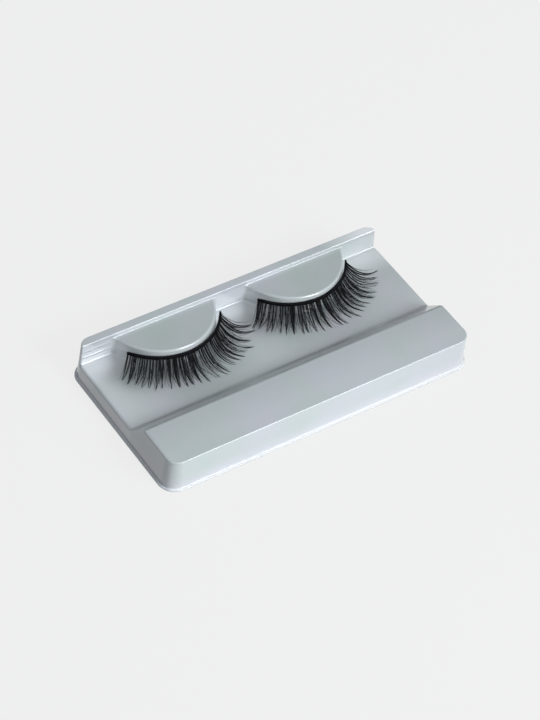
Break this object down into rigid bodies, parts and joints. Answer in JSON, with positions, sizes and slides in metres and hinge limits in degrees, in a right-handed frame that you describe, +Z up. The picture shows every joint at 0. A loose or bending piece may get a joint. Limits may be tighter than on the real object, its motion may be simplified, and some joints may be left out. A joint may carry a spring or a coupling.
{
  "type": "pair of false eyelash strips on a formed plastic tray",
  "caption": "Pair of black false eyelash strips, each resting against a half-moon seat on a thin formed plastic tray with a plain bar in front and a narrow ledge behind.",
  "frame": {"origin": "centre of the tray's rim, on the surface that the tray lies on", "axes": "+X along the tray towards the right-hand strip, +Y from the plain bar towards the ledge behind the seats, +Z up"},
  "size_m": [0.1, 0.0508, 0.0118],
  "materials": {
    "tray_plastic": "thin vacuum-formed plastic sheet, cool light grey, satin with crisp highlights on its rounded edges",
    "eyelash_black": "black synthetic hair with a soft sheen, knotted to a black cotton band"
  },
  "bodies": {
    "root": {"tray": "tray_plastic", "left_lash_strip": "eyelash_black", "right_lash_strip": "eyelash_black"}
  },
  "joints": []
}
